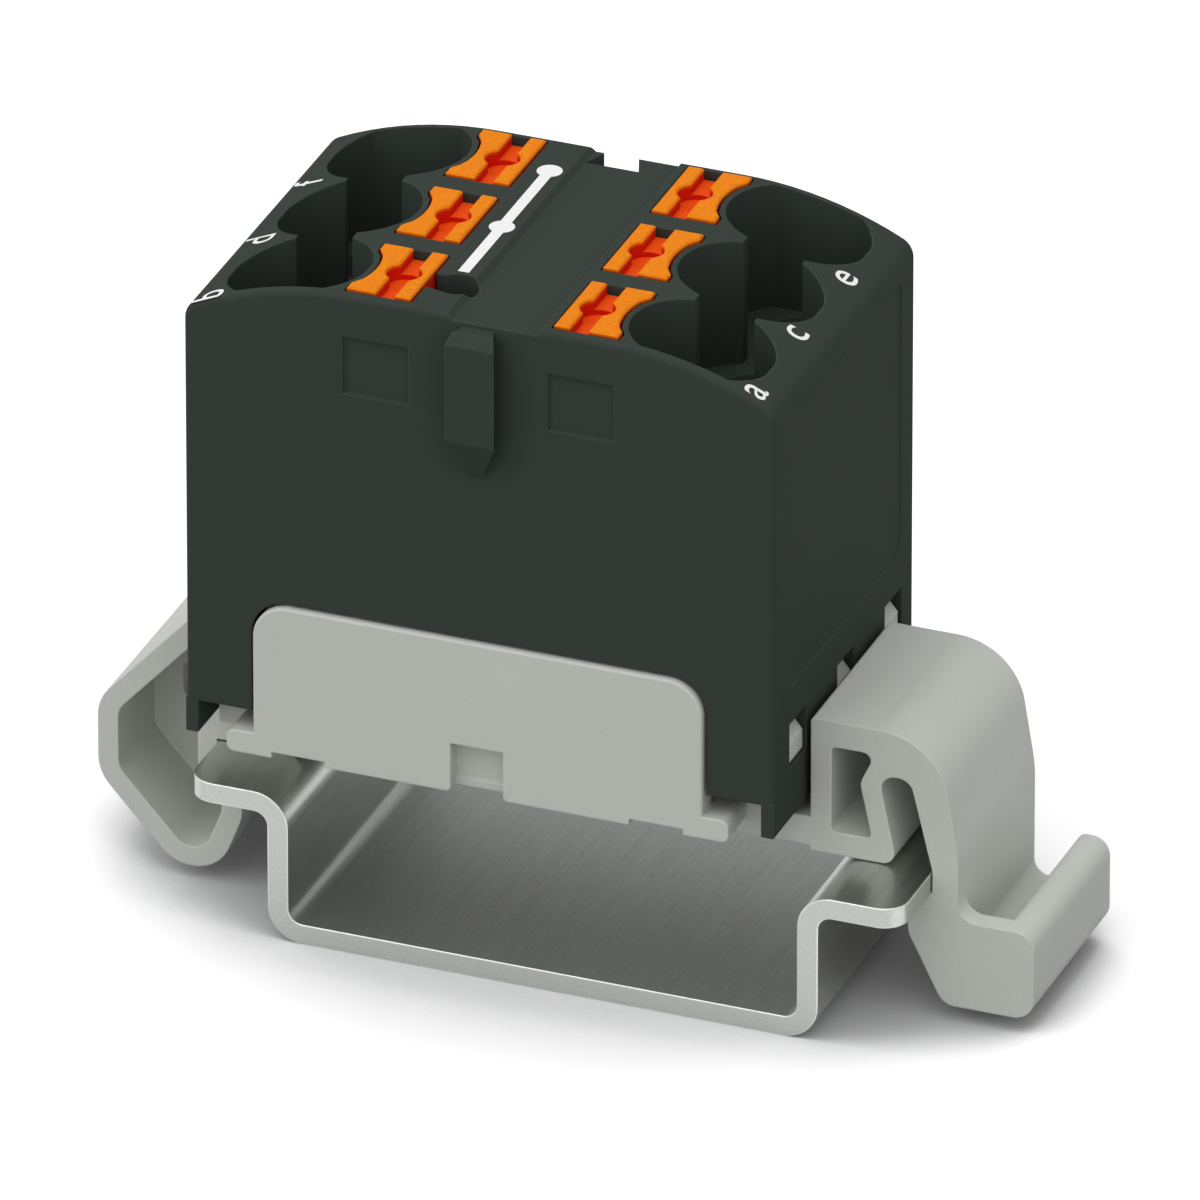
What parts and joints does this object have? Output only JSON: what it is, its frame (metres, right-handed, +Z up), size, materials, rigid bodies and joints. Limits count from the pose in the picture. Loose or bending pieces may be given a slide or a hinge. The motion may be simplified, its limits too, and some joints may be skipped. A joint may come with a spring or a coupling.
{
  "type": "power distribution block",
  "caption": "Push-in terminal block with wire entries, release buttons and a test socket, snapped on an adapter over a short top-hat rail.",
  "frame": {"origin": "middle of the rail's underside", "axes": "+X across the rail towards the adapter's sprung foot, +Y along the rail to the back, +Z up through the block"},
  "size_m": [0.046, 0.0192, 0.0342],
  "materials": {
    "zinc_plated_steel": "bright zinc plated and rolled",
    "black_polyamide": "moulded, satin",
    "tinned_copper": "tin plated",
    "spring_steel": "rolled stainless strip",
    "orange_plastic": "moulded, satin",
    "grey_polyamide": "moulded, satin",
    "white_print": "white marking ink"
  },
  "bodies": {
    "rail": {"din_rail": "zinc_plated_steel"},
    "block": {"housing": "black_polyamide", "rail_adapter": "grey_polyamide", "busbar": "tinned_copper", "clamp_spring_a": "spring_steel", "clamp_spring_b": "spring_steel", "clamp_spring_c": "spring_steel", "clamp_spring_d": "spring_steel", "clamp_spring_e": "spring_steel", "clamp_spring_f": "spring_steel"},
    "button_a": {"release_button_a": "orange_plastic"},
    "button_b": {"release_button_b": "orange_plastic"},
    "button_c": {"release_button_c": "orange_plastic"},
    "button_d": {"release_button_d": "orange_plastic"},
    "button_e": {"release_button_e": "orange_plastic"},
    "button_f": {"release_button_f": "orange_plastic"}
  },
  "joints": [
    {"name": "rail_slide", "type": "slide", "parent": "rail", "child": "block", "axis": [0, 1, 0], "range_m": [-0.004, 0.004]},
    {"name": "button_a_press", "type": "slide", "parent": "block", "child": "button_a", "axis": [0, 0, -1], "range_m": [0, 0.0015], "stiffness_N_per_m": 5000, "deforming": ["clamp_spring_a"]},
    {"name": "button_b_press", "type": "slide", "parent": "block", "child": "button_b", "axis": [0, 0, -1], "range_m": [0, 0.0015], "stiffness_N_per_m": 5000, "deforming": ["clamp_spring_b"]},
    {"name": "button_c_press", "type": "slide", "parent": "block", "child": "button_c", "axis": [0, 0, -1], "range_m": [0, 0.0015], "stiffness_N_per_m": 5000, "deforming": ["clamp_spring_c"]},
    {"name": "button_d_press", "type": "slide", "parent": "block", "child": "button_d", "axis": [0, 0, -1], "range_m": [0, 0.0015], "stiffness_N_per_m": 5000, "deforming": ["clamp_spring_d"]},
    {"name": "button_e_press", "type": "slide", "parent": "block", "child": "button_e", "axis": [0, 0, -1], "range_m": [0, 0.0015], "stiffness_N_per_m": 5000, "deforming": ["clamp_spring_e"]},
    {"name": "button_f_press", "type": "slide", "parent": "block", "child": "button_f", "axis": [0, 0, -1], "range_m": [0, 0.0015], "stiffness_N_per_m": 5000, "deforming": ["clamp_spring_f"]}
  ]
}
